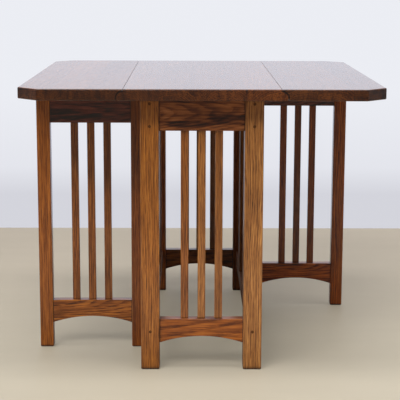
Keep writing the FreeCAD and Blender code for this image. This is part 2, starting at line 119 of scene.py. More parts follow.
# Fields of noise: cycles a metre across, through and along the grain, then detail and roughness.
WAVER = ((8.0, 8.0, 2.4), 1.0, 0.5)
RIPPLE = ((50.0, 50.0, 11.0), 3.0, 0.6)
GROWTH = ((55.0, 1.0, 0.0), 1.0, 0.5)           # over the distance from the pith, and the seed
BREAKS = ((260.0, 260.0, 30.0), 2.0, 0.5)       # in the rows of early pores
TIDE = ((11.0, 11.0, 2.2), 2.0, 0.5)            # broad light and dark
STREAKS = ((190.0, 190.0, 5.0), 3.0, 0.6)
GRAIN = ((440.0, 440.0, 14.0), 2.0, 0.6)
CLOUDS = ((52.0, 52.0, 9.0), 2.0, 0.55)
FIBRES = ((1100.0, 1100.0, 26.0), 2.0, 0.5)
CUT_RAYS = ((85.0, 15.0, 0.0), 4.0, 0.70)       # on cut ends only
PORES = ((1250.0, 1250.0, 62.0), 1.0, 0.5)
RAYS = ((95.0, 160.0, 34.0), 1.0, 0.5)          # over the distance and the turn about the pith
WEAR = ((60.0, 60.0, 9.0), 3.0, 0.65)
SEED_SHIFT = (3.17, 7.41, 1.93)                 # how far one seed moves the fields
FIRST_SEED = 1.0
SEED_STEP = 5.0                                 # from one piece to the next

# Where such a field begins to count and where it counts in full.
BREAKS_STEP = (0.30, 0.58)
CLOUDS_STEP = (0.50, 0.68)
PORES_STEP = (0.55, 0.63)
RAYS_STEP = (0.64, 0.74)
WEAR_STEP = (0.42, 0.66)

# How far the rings stray from true circles.
WAVER_SIZE = 26 * MM
RIPPLE_SIZE = 7 * MM
GROWTH_SIZE = 13 * MM
YEARS_TO_A_SPELL = 3.4          # rings that grew alike, wide or narrow

# Early wood: where it grows thick and thins out again, as shares of a ring.
EARLY_RISE = (0.0, 0.10)
EARLY_FALL = (0.70, 0.15)
EARLY_STRENGTHS = (0.55, 1.10)  # in the poorest and in the best year
EARLY_AT_BREAKS = 0.20
PORES_IN_LATE_WOOD = 0.30

# What moves the shade, which runs along the stops above.
SHADE_MIDDLE = 0.78
SHADE_WEIGHTS = {"year": 0.12, "spell": 0.20, "tide": 0.24, "streaks": 0.62, "grain": 1.25,
                 "fibres": 0.30}
EARLY_DARKENS = 0.38
CUT_RAYS_WEIGHT = 1.2
PORES_DARKEN = 0.26
RAYS_LIGHTEN = 0.08

RUBBED_COLOUR = (0.34, 0.165, 0.062)
RUBBED_REACH = (3.2 * MM, 0.6 * MM)             # from a long edge: none to full
RUBBED_MOST = 0.55
# Painted shade at the ends of a piece: a dark line where it meets its neighbours, and on the posts and
# gate legs the shade under the top and at the feet.
PAINTED_END_SHADE_COLOUR = (0.018, 0.009, 0.006)
PAINTED_END_SHADE_FULL = 0.4 * MM
PAINTED_END_SHADE_MOST = 0.80

# Roughness of plain wood, and what changes it.
UNPOLISHED = 0.65
POLISH_SMOOTHS = 0.35
PORES_ROUGHEN = 0.16
WEAR_ROUGHENS = 0.12
ENDS_ROUGHEN = 0.14
RUBBING_ROUGHENS = 0.10
PORE_DEPTH = 0.8                # of the relief
FIBRE_RISE = 0.35
EARLY_DEPTH = 0.25
RELIEF_SIZE = 0.25 * MM

WOOD_IOR = 1.5
WOOD_SPECULAR = 0.3
COAT_ROUGHNESS = 0.12
ENDS_LOSE_COAT = 0.65           # share of the coat
SATIN = 0.3                     # coat of the frame and gates; the top has more
INNER_POLISH = 0.1              # of the frame's inner members; outer ones are 1
RIGHT_POST_POLISH = 0.5

# ---- The boards of the top ---------------------------------------------------------------------
PLANKS_PER_BOARD = {"centre_top": 4, "left_leaf_board": 3, "right_leaf_board": 3}
BOARD_GLOSS = {"centre_top": 0.88, "left_leaf_board": 0.82, "right_leaf_board": 0.88}
# Shade of each board's cut end, from its left side to its right.
BOARD_END_TONES = {"centre_top": (1.38, 2.42), "left_leaf_board": (0.58, 1.06),
                   "right_leaf_board": (1.34, 1.36)}
BOARD_END_SPREAD = 0.8          # from plank to plank
BOARD_RING = 4.4
BOARD_RELIEF = 0.12
BOARD_FIGURE = (0.38, 0.60)     # on the faces and on the cut ends
BOARD_HUE = (1.0, 0.95, 0.92)
FIRST_PLANK_SEED = 40.0
PLANK_SEEDS = 9.0               # set aside for each board
# What is drawn for each plank, and what is added to its number for that.
PLANK_DRAWS = {"aside": 0.0, "slope": 0.25, "depth": 0.5, "end_shade": 0.6, "shade": 0.75}
PLANK_TONES = (0.50, 0.72)
PLANK_LEAN = 0.045              # of the pith, up or down along the plank
PITH_ASIDE = 0.45               # of a plank's width, to either side of its middle
PITH_DEPTHS = (110 * MM, 20 * MM)               # below the board
GLUE_LINE = 0.35 * MM
GLUE_SHADE = 0.55
RULE_GAP = 0.8 * MM             # between the round of the centre board and the leaves' coves
# Painted shade: a dark line on the boards' cut ends along the gap of the rule joint.
PAINTED_GAP_SHADE_REACH = (0.9 * MM, 2.8 * MM)              # from the middle of that gap: full to none
PAINTED_GAP_SHADE = 0.08

# ---- Brass and pegs ----------------------------------------------------------------------------
HINGE_BRASS = (0.52, 0.38, 0.17)
HINGE_ROUGHNESS = 0.34
SCREW_BRASS = (0.60, 0.45, 0.21)
SCREW_ROUGHNESS = 0.30
TARNISH = ((70.0, 70.0, 70.0), 3.0, 0.6)
TARNISH_STEP = (0.42, 0.68)
TARNISH_MOST = 0.7              # of the surface in the middle of a patch
TARNISH_DULLS = 0.42            # share of the colour that is left under it
TARNISH_ROUGHENS = 0.25
SCRATCHES = ((300.0, 2400.0, 300.0), 2.0, 0.5)
SCRATCHES_ROUGHEN = 0.12
SCRATCH_RELIEF = 0.3
SCRATCH_DEPTH = 0.05 * MM
PEG_PORES = ((1400.0, 1400.0, 1400.0), 2.0, 0.5)
PEG_PORES_STEP = (0.35, 0.65)
PEG_DARK = (0.055, 0.022, 0.008)
PEG_PALE = (0.150, 0.062, 0.022)
PEG_ROUGHNESS = 0.7
PEG_SPECULAR = 0.1
PEG_RELIEF = 0.5
PEG_PORE_DEPTH = 0.1 * MM


# ---- Shader graphs -----------------------------------------------------------------------------

class Graph:
    """Adds shader nodes to a tree. A value is a number, a tuple or another node's socket."""

    def __init__(self, tree):
        self.tree = tree

    def feed(self, socket, value):
        if isinstance(value, bpy.types.NodeSocket):
            self.tree.links.new(value, socket)
        else:
            socket.default_value = value

    def node(self, kind, inputs=None, **settings):
        made = self.tree.nodes.new(kind)
        for name, value in settings.items():
            setattr(made, name, value)
        for key, value in (inputs or {}).items():
            self.feed(made.inputs[key], value)
        return made

    def math(self, operation, *values):
        made = self.node("ShaderNodeMath", operation=operation)
        for socket, value in zip(made.inputs, values):
            self.feed(socket, value)
        return made.outputs[0]

    def vector(self, operation, *values):
        made = self.node("ShaderNodeVectorMath", operation=operation)
        for socket, value in zip(made.inputs, values):
            self.feed(socket, value)
        return made.outputs["Value" if operation == "LENGTH" else "Vector"]

    def scale(self, vector, factor):
        inputs = {"Vector": vector, "Scale": factor}
        return self.node("ShaderNodeVectorMath", inputs, operation="SCALE").outputs["Vector"]

    def parts(self, vector):
        made = self.node("ShaderNodeSeparateXYZ", {0: vector})
        return made.outputs[0], made.outputs[1], made.outputs[2]

    def join(self, x, y, z):
        return self.node("ShaderNodeCombineXYZ", {0: x, 1: y, 2: z}).outputs[0]

    def noise(self, vector, cycles, detail, roughness):
        """Noise between 0 and 1, with so many cycles to a unit of each axis of the vector."""
        inputs = {"Vector": self.vector("MULTIPLY", vector, cycles), "Scale": 1.0,
                  "Detail": detail, "Roughness": roughness}
        return self.node("ShaderNodeTexNoise", inputs).outputs[0]

    def random(self, number):
        """A random number between 0 and 1, always the same for the same number."""
        made = self.node("ShaderNodeTexWhiteNoise", noise_dimensions="1D")
        self.feed(made.inputs["W"], number)
        return made.outputs["Value"]

    def ease(self, value, start, end, low=0.0, high=1.0):
        """A smooth step from low to high as the value goes from start to end."""
        inputs = {"Value": value, "From Min": start, "From Max": end, "To Min": low, "To Max": high}
        return self.node("ShaderNodeMapRange", inputs, interpolation_type="SMOOTHSTEP").outputs[0]

    def mix(self, factor, low, high):
        """A number that goes from low to high as the factor goes from 0 to 1."""
        return self.node("ShaderNodeMix", {0: factor, 2: low, 3: high}).outputs[0]

    def blend(self, factor, low, high, kind="MIX"):
        """A colour, blended in the way that the kind names."""
        made = self.node("ShaderNodeMix", data_type="RGBA", blend_type=kind)
        self.feed(made.inputs[0], factor)
        self.feed(made.inputs[6], (*low, 1) if isinstance(low, tuple) else low)
        self.feed(made.inputs[7], (*high, 1) if isinstance(high, tuple) else high)
        return made.outputs[2]

    def ramp(self, value, stops):
        made = self.node("ShaderNodeValToRGB", {0: value})
        steps = made.color_ramp.elements
        while len(steps) < len(stops):
            steps.new(0.5)
        for step, (place, colour) in zip(steps, stops):
            step.position = place
            step.color = (*colour, 1)
        return made.outputs[0]

    def glow(self, colour):
        """A surface that shows its colour as it is."""
        return self.node("ShaderNodeEmission", {"Color": colour, "Strength": 1.0}).outputs[0]

    def mix_shaders(self, factor, low, high):
        return self.node("ShaderNodeMixShader", {0: factor, 1: low, 2: high}).outputs[0]

    def roughen(self, shader, strength, depth, height):
        """Gives a shader a relief: a height between 0 and 1, and its depth in metres."""
        inputs = {"Strength": strength, "Distance": depth, "Height": height}
        self.feed(shader.inputs["Normal"], self.node("ShaderNodeBump", inputs).outputs[0])

    def show(self, surface, kind="ShaderNodeOutputMaterial"):
        """Makes a shader the one that shows."""
        self.node(kind, {"Surface": surface})


def fed_by(socket):
    """The socket that feeds an input."""
    return socket.links[0].from_socket


def new_group(name, inputs, outputs):
    """An empty node group: its graph, its inputs by name, and the node that takes its outputs."""
    tree = bpy.data.node_groups.new(name, "ShaderNodeTree")
    for label, kind in inputs:
        tree.interface.new_socket(label, in_out="INPUT", socket_type="NodeSocket" + kind)
    for label, kind in outputs:
        tree.interface.new_socket(label, in_out="OUTPUT", socket_type="NodeSocket" + kind)
    graph = Graph(tree)
    given = graph.node("NodeGroupInput").outputs
    return graph, given, graph.node("NodeGroupOutput").inputs


def empty_graph(owner):
    """The graph of a material or a world, with nothing in it."""
    owner.use_nodes = True
    owner.node_tree.nodes.clear()
    return Graph(owner.node_tree)


def new_material(name):
    """A material that shows a Principled shader: its graph and that shader."""
    material = bpy.data.materials.new(name)
    graph = empty_graph(material)
    shader = graph.node("ShaderNodeBsdfPrincipled")
    graph.show(shader.outputs[0])
    return material, graph, shader


# ---- The oak group -----------------------------------------------------------------------------
# Every piece is cut from a trunk of its own. Place is (across, through, along) the grain, and the
# growth rings are cylinders about a pith that lies off to one side and leans along the piece.

OAK_INPUTS = (("Place", "Vector"), ("Pith", "Vector"), ("Lean", "Vector"), ("Low", "Vector"),
              ("High", "Vector"), ("Facing", "Float"), ("Ring", "Float"), ("Seed", "Float"),
              ("Tone", "Color"), ("Figure", "Float"), ("Cloud", "Float"), ("Polish", "Float"),
              ("Fineness", "Float"), ("Painted end shade", "Float"))
OAK_OUTPUTS = (("Colour", "Color"), ("Roughness", "Float"), ("Height", "Float"), ("Ends", "Float"))


def ring_distance(graph, given, place):
    """How far a point lies from the pith, along a wavering line, and its true offset from it."""
    across, through, along = graph.parts(given["Place"])
    centre = graph.vector("ADD", given["Pith"], graph.scale(given["Lean"], along))
    flat = graph.join(across, through, 0.0)
    offset = graph.vector("SUBTRACT", flat, centre)
    reach = graph.vector("LENGTH", offset)
    waver = graph.noise(place, *WAVER)
    ripple = graph.noise(place, *RIPPLE)
    growth = graph.noise(graph.join(reach, given["Seed"], 0.0), *GROWTH)
    for field, size in ((waver, WAVER_SIZE), (ripple, RIPPLE_SIZE), (growth, GROWTH_SIZE)):
        reach = graph.math("MULTIPLY_ADD", graph.math("SUBTRACT", field, 0.5), size, reach)
    return reach, offset


def edge_and_end(graph, given):
    """Distances in metres from a long edge and from an end of the piece."""
    low = graph.vector("SUBTRACT", given["Place"], given["Low"])
    high = graph.vector("SUBTRACT", given["High"], given["Place"])
    across, through, along = graph.parts(graph.vector("MINIMUM", low, high))
    return graph.math("MAXIMUM", across, through), along


def cut_end(graph, facing):
    """1 where the piece shows its end grain, 0 along its sides."""
    return graph.ease(graph.math("ABSOLUTE", facing), *END_FACING)


def growth_rings(graph, given, reach, fine):
    """The early wood of each ring, and numbers that differ from year to year and spell to spell."""
    phase = graph.math("DIVIDE", reach, given["Ring"])
    within = graph.math("FRACT", phase)
    year = graph.random(graph.math("ADD", graph.math("FLOOR", phase), given["Seed"]))
    spell = graph.math("FLOOR", graph.math("DIVIDE", phase, YEARS_TO_A_SPELL))
    spell = graph.random(graph.math("ADD", spell, given["Seed"]))
    early = graph.math("MULTIPLY", graph.ease(within, *EARLY_RISE), graph.ease(within, *EARLY_FALL))
    early = graph.math("MULTIPLY", early, graph.mix(year, *EARLY_STRENGTHS))
    whole = graph.ease(graph.noise(fine, *BREAKS), *BREAKS_STEP, EARLY_AT_BREAKS, 1.0)
    early = graph.math("MULTIPLY", early, whole)
    return early, year, spell


def wood_rays(graph, place, reach, offset):
    """The bright flecks where rays from the pith meet the surface."""
    side, depth, _ = graph.parts(offset)
    _, _, along = graph.parts(place)
    around = graph.join(reach, graph.math("ARCTAN2", side, depth), along)
    return graph.ease(graph.noise(around, *RAYS), *RAYS_STEP)


def wood_marks(graph, given, place, fine):
    """What shows in the wood before its colour, by name: rings, fields of noise, pores and rays."""
    reach, offset = ring_distance(graph, given, place)
    early, year, spell = growth_rings(graph, given, reach, fine)
    share = graph.math("MULTIPLY_ADD", early, 1.0 - PORES_IN_LATE_WOOD, PORES_IN_LATE_WOOD)
    pores = graph.math("MULTIPLY", graph.ease(graph.noise(place, *PORES), *PORES_STEP), share)
    return {"early": early, "year": year, "spell": spell, "pores": pores,
            "rays": wood_rays(graph, place, reach, offset), "tide": graph.noise(place, *TIDE),
            "streaks": graph.noise(fine, *STREAKS), "grain": graph.noise(fine, *GRAIN),
            "fibres": graph.noise(place, *FIBRES)}


def wood_shade(graph, given, place, marks, end_grain):
    """The shade of the wood, which the ramp of its stops turns into a colour."""
    shade = graph.math("MULTIPLY", marks["early"], -EARLY_DARKENS)
    for name, weight in SHADE_WEIGHTS.items():
        centred = graph.math("SUBTRACT", marks[name], 0.5)
        shade = graph.math("MULTIPLY_ADD", centred, weight, shade)
    cut_rays = graph.math("SUBTRACT", graph.noise(place, *CUT_RAYS), 0.5)
    at_ends = graph.math("MULTIPLY", cut_rays, end_grain)
    shade = graph.math("MULTIPLY_ADD", at_ends, CUT_RAYS_WEIGHT, shade)
    shade = graph.math("MULTIPLY_ADD", marks["pores"], -PORES_DARKEN, shade)
    shade = graph.math("MULTIPLY_ADD", marks["rays"], RAYS_LIGHTEN, shade)
    figure = graph.math("MULTIPLY", given["Figure"], graph.math("ADD", end_grain, 1.0))
    drift = graph.ease(graph.noise(place, *CLOUDS), *CLOUDS_STEP)
    cloud = graph.math("MULTIPLY", drift, given["Cloud"])
    return graph.math("SUBTRACT", graph.math("MULTIPLY_ADD", shade, figure, SHADE_MIDDLE), cloud)


def worn_colour(graph, given, colour, patchy, end_grain):
    """The colour with its rubbed long edges and painted shade at its ends, and the rubbing."""
    edge, end = edge_and_end(graph, given)
    along_grain = graph.math("SUBTRACT", 1.0, end_grain)
    rubbed = graph.math("MULTIPLY", graph.ease(edge, *RUBBED_REACH),
                        graph.ease(patchy, *WEAR_STEP, 0.0, RUBBED_MOST))
    rubbed = graph.math("MULTIPLY", rubbed, along_grain)
    colour = graph.blend(rubbed, colour, RUBBED_COLOUR)
    # Painted shade towards both ends of the piece.
    painted_end_shade = graph.ease(end, given["Painted end shade"], PAINTED_END_SHADE_FULL, 0.0, PAINTED_END_SHADE_MOST)
    painted_end_shade = graph.math("MULTIPLY", painted_end_shade, along_grain)
    return graph.blend(painted_end_shade, colour, PAINTED_END_SHADE_COLOUR), rubbed


def oak_group():
    """Rings, pores, fibres and flecks of oak, end grain, rubbed edges and painted shade at ends."""
    graph, given, result = new_group("oak", OAK_INPUTS, OAK_OUTPUTS)
    place = graph.vector("ADD", given["Place"], graph.scale(SEED_SHIFT, given["Seed"]))
    fine = graph.vector("MULTIPLY", place, graph.join(given["Fineness"], given["Fineness"], 1.0))
    marks = wood_marks(graph, given, place, fine)
    end_grain = cut_end(graph, given["Facing"])
    patchy = graph.noise(place, *WEAR)

    shade = wood_shade(graph, given, place, marks, end_grain)
    colour = graph.blend(1.0, graph.ramp(shade, OAK_STOPS), given["Tone"], "MULTIPLY")
    colour = graph.blend(end_grain, colour, graph.blend(1.0, colour, END_GRAIN, "MULTIPLY"))
    colour, rubbed = worn_colour(graph, given, colour, patchy, end_grain)
    graph.feed(result["Colour"], colour)
    graph.feed(result["Ends"], end_grain)

    rough = graph.math("MULTIPLY_ADD", given["Polish"], -POLISH_SMOOTHS, UNPOLISHED)
    uneven = graph.math("SUBTRACT", patchy, 0.5)
    for field, weight in ((marks["pores"], PORES_ROUGHEN), (uneven, WEAR_ROUGHENS),
                          (end_grain, ENDS_ROUGHEN), (rubbed, RUBBING_ROUGHENS)):
        rough = graph.math("MULTIPLY_ADD", field, weight, rough)
    graph.feed(result["Roughness"], rough)

    height = graph.math("MULTIPLY", marks["fibres"], FIBRE_RISE)
    height = graph.math("MULTIPLY_ADD", marks["pores"], -PORE_DEPTH, height)
    height = graph.math("MULTIPLY_ADD", marks["early"], -EARLY_DEPTH, height)
    graph.feed(result["Height"], height)
    return graph.tree


OAK = oak_group()


def oak_shader(name, order, gloss, relief):
    """A material around the oak group. The order says which axes are across, through and along."""
    material, graph, shader = new_material(name)
    coordinates = graph.node("ShaderNodeTexCoord").outputs
    place = graph.parts(coordinates["Object"])
    facing = graph.parts(coordinates["Normal"])
    axes = ["xyz".index(letter) for letter in order]
    oak = graph.node("ShaderNodeGroup", node_tree=OAK)
    graph.feed(oak.inputs["Place"], graph.join(*[place[axis] for axis in axes]))
    graph.feed(oak.inputs["Facing"], facing[axes[2]])
    graph.feed(shader.inputs["Base Color"], oak.outputs["Colour"])
    graph.feed(shader.inputs["Roughness"], oak.outputs["Roughness"])
    graph.roughen(shader, relief, RELIEF_SIZE, oak.outputs["Height"])
    shader.inputs["IOR"].default_value = WOOD_IOR
    shader.inputs["Specular IOR Level"].default_value = WOOD_SPECULAR
    shader.inputs["Coat Roughness"].default_value = COAT_ROUGHNESS
    if gloss:
        coat = graph.math("MULTIPLY_ADD", oak.outputs["Ends"], -ENDS_LOSE_COAT * gloss, gloss)
        graph.feed(shader.inputs["Coat Weight"], coat)
    return material, graph, oak


def shaded(tone, dim):
    """A tone made darker."""
    return tuple(channel * dim for channel in tone)


def in_order(vector, order):
    """A vector's parts across, through and along the grain."""
    return tuple(vector["xyz".index(letter)] for letter in order)


def oak_piece(node, *, order, pith, lean=(0.0, 0.0), ring=4.6, tone=(1, 1, 1), figure=1.0,
              cloud=0.05, fine=1.0, gloss=SATIN, polish=1.0, relief=0.55, painted_end_shade=3.0, shown=None):
    """Gives a CAD node its own oak. The pith is in millimetres from the middle of the piece, ring is
    the width of a year and soiled the length of the painted shade at its ends, in millimetres too,
    and shown is the part of its box that shows, where tenons make the box longer."""
    low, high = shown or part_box(node)
    material, graph, oak = oak_shader("oak_" + node, order, gloss, relief)
    middle = in_order((low + high) / 2, order)
    pith_place = [middle[i] + pith[i] * MM - lean[i] * middle[2] for i in (0, 1)]
    values = {
        "Pith": (*pith_place, 0.0), "Lean": (*lean, 0.0), "Ring": ring * MM,
        "Low": in_order(low, order), "High": in_order(high, order),
        "Seed": FIRST_SEED + SEED_STEP * sorted(frame["nodes"]).index(node),
        "Tone": (*tone, 1), "Figure": figure, "Cloud": cloud, "Polish": polish,
        "Fineness": fine, "Painted end shade": painted_end_shade * MM,
    }
    for name, value in values.items():
        oak.inputs[name].default_value = value
    dress(node, material)
    return graph, oak


def dress(node, material):
    """Puts one material on a CAD node."""
    slots = frame["nodes"][node].material_slots
    for slot in slots:
        slot.material = material
    if not slots:
        frame["nodes"][node].data.materials.append(material)


# ---- Which oak goes where ----------------------------------------------------------------------

INSIDE = {"gloss": 0.0, "polish": INNER_POLISH}
# How each kind of piece is cut and finished, in the words of oak_piece.
CUTS = {
    # The long dark ends of the posts and gate legs are painted shade, under the top and at the feet.
    "post": {"order": "xyz", "lean": (0.012, 0.0), "ring": 5.2, "figure": 0.82, "painted_end_shade": 12.0},
    "top_rail": {"order": "zyx", "lean": (0.03, 0.10), "ring": 5.0, "figure": 0.8, "cloud": 0.42,
                 "fine": 0.5, "gloss": 0.1, "tone": (0.92, 0.88, 1.60)},
    "bottom_rail": {"order": "zyx", "lean": (0.17, 0.05), "ring": 20.0, "figure": 0.85, "fine": 0.5},
    "slat": {"order": "xyz", "lean": (0.006, 0.0), "ring": 4.2, "figure": 0.75},
    "apron": {"order": "zxy", "lean": (0.02, 0.06), "ring": 5.5, **INSIDE},
    "stretcher": {"order": "zxy", "lean": (0.03, 0.05), "ring": 5.0, **INSIDE},
    "mullion": {"order": "yxz", "lean": (0.015, 0.03), "ring": 5.6, **INSIDE},
    "gate_leg": {"order": "xyz", "lean": (0.010, 0.0), "ring": 4.8, "figure": 0.84, "painted_end_shade": 9.0},
    "gate_stile": {"order": "xyz", "lean": (0.008, 0.0), "ring": 4.8, "figure": 0.85},
    # The gates' top rails' bluer tone is partly a painted reflection of bluish room light.
    "gate_top_rail": {"order": "zyx", "lean": (0.05, 0.08), "ring": 6.0, "figure": 1.25, "cloud": 0.42,
                      "fine": 0.5, "gloss": 0.45, "tone": (0.39, 0.225, 0.66)},
    "gate_bottom_rail": {"order": "zyx", "lean": (-0.05, 0.10), "ring": 5.0, "figure": 1.1,
                         "fine": 0.5},
    "gate_slat": {"order": "xyz", "lean": (0.008, 0.0), "ring": 4.0, "figure": 0.85},
    "gate_stop": {"order": "zyx", "lean": (0.02, 0.02), "ring": 4.5, "gloss": 0.0,
                  "tone": (0.70, 0.66, 0.62)},
    "buttons": {"order": "zxy", "lean": (0.02, 0.02), "ring": 4.0, "gloss": 0.0,
                "tone": (0.80, 0.78, 0.72)},
}
POST_TONES = {"front_left": (1.16, 1.16, 1.04), "front_right": (1.27, 1.54, 2.40),
              "rear_left": (1.20, 0.95, 1.15), "rear_right": (0.80, 0.72, 0.80)}
POST_PITHS = {"front_left": (-190, 40), "front_right": (150, 95),
              "rear_left": (120, -60), "rear_right": (-160, 70)}
# The rear bottom rail's tone is darker than the front's: partly painted shade.
FOOT_TONES = {"front": (0.92, 0.71, 0.38), "rear": (0.62, 0.50, 0.44)}
SLAT_TONES = ((0.90, 0.84, 0.95), (1.26, 1.46, 2.15), (0.88, 0.91, 1.20))
SIDE_TONES = {"apron": (0.78, 0.72, 0.68), "stretcher": (0.90, 0.84, 0.80),
              "mullion": (0.84, 0.78, 0.74)}
SIDE_DIMS = {"left": 1.0, "right": 0.6}
GATE_TONES = {
    "left": {"leg": (0.97, 0.81, 0.64), "stile": (0.66, 0.49, 0.39), "bottom_rail": (0.95, 0.79, 0.59),
             "slats": ((0.90, 0.81, 0.84), (0.92, 0.83, 0.86), (0.70, 0.61, 0.64))},
    "right": {"leg": (1.14, 0.72, 0.40), "stile": (0.50, 0.36, 0.32), "bottom_rail": (1.18, 0.66, 0.30),
              "slats": ((0.95, 0.60, 0.50), (0.68, 0.44, 0.42), (0.92, 0.53, 0.38))},
}
OUTWARD = {"left": -1, "right": 1}


def shown_between(node, axis, low_end, high_end):
    """A node's box cut down to what shows between two neighbours along one axis."""
    low, high = (corner.copy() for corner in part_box(node))
    low[axis] = low_end
    high[axis] = high_end
    return low, high


def between_posts(node, end):
    """The part of an end rail that shows between its posts."""
    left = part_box(end + "_left_post")[1].x
    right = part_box(end + "_right_post")[0].x
    return shown_between(node, 0, left, right)


def along_side(node, side):
    """The part of a side rail that shows between its posts."""
    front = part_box(f"front_{side}_post")[1].y
    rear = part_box(f"rear_{side}_post")[0].y
    return shown_between(node, 1, front, rear)


def in_gate(node, side):
    """The part of a gate rail that shows between its leg and its stile."""
    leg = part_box(side + "_gate_leg")
    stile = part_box(side + "_gate_stile")
    ends = (leg[1].x, stile[0].x) if side == "left" else (stile[1].x, leg[0].x)
    return shown_between(node, 0, *ends)


def between_rails(node, rail_below, rail_above):
    """The part of an upright that shows between two rails."""
    return shown_between(node, 2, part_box(rail_below)[1].z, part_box(rail_above)[0].z)


def dress_posts():
    for corner, tone in POST_TONES.items():
        polish = RIGHT_POST_POLISH if "right" in corner else 1.0
        oak_piece(corner + "_post", pith=POST_PITHS[corner], tone=tone, polish=polish, **CUTS["post"])


def dress_ends():
    for end, back in (("front", 1), ("rear", -1)):
        rail, foot = end + "_top_rail", end + "_bottom_rail"
        oak_piece(rail, pith=(6, 34 * back), shown=between_posts(rail, end), **CUTS["top_rail"])
        oak_piece(foot, pith=(-70, 26 * back), tone=FOOT_TONES[end], shown=between_posts(foot, end),
                  **CUTS["bottom_rail"])
        for index, tone in enumerate(SLAT_TONES, 1):
            slat = f"{end}_slat_{index}"
            oak_piece(slat, pith=(90 + 40 * index, 60), tone=tone,
                      shown=between_rails(slat, foot, rail), **CUTS["slat"])


def dress_sides():
    for side, out in OUTWARD.items():
        tones = {kind: shaded(tone, SIDE_DIMS[side]) for kind, tone in SIDE_TONES.items()}
        apron, stretcher = side + "_apron", side + "_stretcher"
        oak_piece(apron, pith=(10, 60 * out), tone=tones["apron"], shown=along_side(apron, side),
                  **CUTS["apron"])
        oak_piece(stretcher, pith=(-70, 30 * out), tone=tones["stretcher"],
                  shown=along_side(stretcher, side), **CUTS["stretcher"])
        for end in ("front", "rear"):
            mullion = f"{side}_{end}_mullion"
            oak_piece(mullion, pith=(12, 45 * out), tone=tones["mullion"],
                      shown=between_rails(mullion, stretcher, apron), **CUTS["mullion"])


def dress_gates():
    for side, out in OUTWARD.items():
        gate = side + "_gate_"
        tones = GATE_TONES[side]
        rail, foot = gate + "top_rail", gate + "bottom_rail"
        oak_piece(gate + "leg", pith=(-130 * out, 70), tone=tones["leg"], **CUTS["gate_leg"])
        oak_piece(gate + "stile", pith=(110 * out, 50), tone=tones["stile"], **CUTS["gate_stile"])
        oak_piece(rail, pith=(-8, 30), shown=in_gate(rail, side), **CUTS["gate_top_rail"])
        oak_piece(foot, pith=(34, 30), tone=tones["bottom_rail"], shown=in_gate(foot, side),
                  **CUTS["gate_bottom_rail"])
        for index, tone in enumerate(tones["slats"], 1):
            slat = f"{gate}slat_{index}"
            oak_piece(slat, pith=(80 + 30 * index, 55), tone=tone,
                      shown=between_rails(slat, foot, rail), **CUTS["gate_slat"])
        oak_piece(gate + "stop", pith=(30, 40), **CUTS["gate_stop"])


def dress_buttons():
    oak_piece("top_buttons", pith=(40, 30), **CUTS["buttons"])


def plank_fields(graph, across, first_edge, width, seed):
    """For a board glued up from planks: the number of the plank at a point, and where its middle is."""
    number = graph.math("FLOOR", graph.math("DIVIDE", graph.math("SUBTRACT", across, first_edge), width))
    middle = graph.math("MULTIPLY_ADD", graph.math("ADD", number, 0.5), width, first_edge)
    return graph.math("ADD", number, seed), middle


def off_rule_joint(graph, across, upward):
    """How far a point of a board's cut end lies from the curved gap of the rule joint, which runs
    outwards and down from the seam."""
    pin = next(Vector(joint["pos_m"]) for joint in frame["joints"] if joint["name"] == "right_leaf_lift")
    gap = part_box("centre_top")[1].x - pin.x + RULE_GAP / 2
    outward = graph.math("SUBTRACT", graph.math("ABSOLUTE", across), pin.x)
    rise = graph.math("SUBTRACT", upward, pin.z)
    from_pin = graph.vector("LENGTH", graph.join(outward, rise, 0.0))
    off_curve = graph.math("ABSOLUTE", graph.math("SUBTRACT", from_pin, gap))
    return graph.math("SUBTRACT", off_curve, graph.math("MINIMUM", outward, 0.0))


def board_end_shade(graph, node, spread, across, upward):
    """The shade of a board's cut end: side to side, plank to plank, painted shade at the joint's gap."""
    low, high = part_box(node)
    shade = graph.ease(across, low.x, high.x, *BOARD_END_TONES[node])
    shade = graph.math("MULTIPLY_ADD", spread, BOARD_END_SPREAD, shade)
    # Painted shade along the gap of the rule joint.
    gap_shade = graph.ease(off_rule_joint(graph, across, upward), *PAINTED_GAP_SHADE_REACH, PAINTED_GAP_SHADE, 1.0)
    return graph.math("MULTIPLY", shade, gap_shade)


def dress_board(node):
    """A board of the top: planks glued edge to edge, each with a pith and a shade of its own."""
    low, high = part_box(node)
    graph, oak = oak_piece(node, order="xzy", pith=(0, 0), ring=BOARD_RING, gloss=BOARD_GLOSS[node],
                           relief=BOARD_RELIEF)
    across, upward, _ = graph.parts(fed_by(oak.inputs["Place"]))
    width = (high.x - low.x) / PLANKS_PER_BOARD[node]
    seed = FIRST_PLANK_SEED + PLANK_SEEDS * sorted(PLANKS_PER_BOARD).index(node)
    number, middle = plank_fields(graph, across, low.x, width, seed)
    drawn = {name: graph.random(graph.math("ADD", number, past))
             for name, past in PLANK_DRAWS.items()}

    aside = graph.mix(drawn["aside"], -PITH_ASIDE * width, PITH_ASIDE * width)
    depth = graph.mix(drawn["depth"], *[low.z - below for below in PITH_DEPTHS])
    slope = graph.mix(drawn["slope"], -PLANK_LEAN, PLANK_LEAN)
    graph.feed(oak.inputs["Pith"], graph.join(graph.math("ADD", middle, aside), depth, 0.0))
    graph.feed(oak.inputs["Lean"], graph.join(0.0, slope, 0.0))
    graph.feed(oak.inputs["Seed"], number)

    end = cut_end(graph, fed_by(oak.inputs["Facing"]))
    graph.feed(oak.inputs["Figure"], graph.mix(end, *BOARD_FIGURE))
    off_middle = graph.math("ABSOLUTE", graph.math("SUBTRACT", across, middle))
    to_joint = graph.math("SUBTRACT", width / 2, off_middle)
    glue = graph.ease(to_joint, GLUE_LINE, 0.0, 1.0, GLUE_SHADE)
    shade = graph.math("MULTIPLY", graph.mix(drawn["shade"], *PLANK_TONES), glue)
    at_end = board_end_shade(graph, node, drawn["end_shade"], across, upward)
    shade = graph.math("MULTIPLY", shade, graph.mix(end, 1.0, at_end))
    graph.feed(oak.inputs["Tone"], graph.scale(BOARD_HUE, shade))


# ---- Brass, screws and pegs --------------------------------------------------------------------

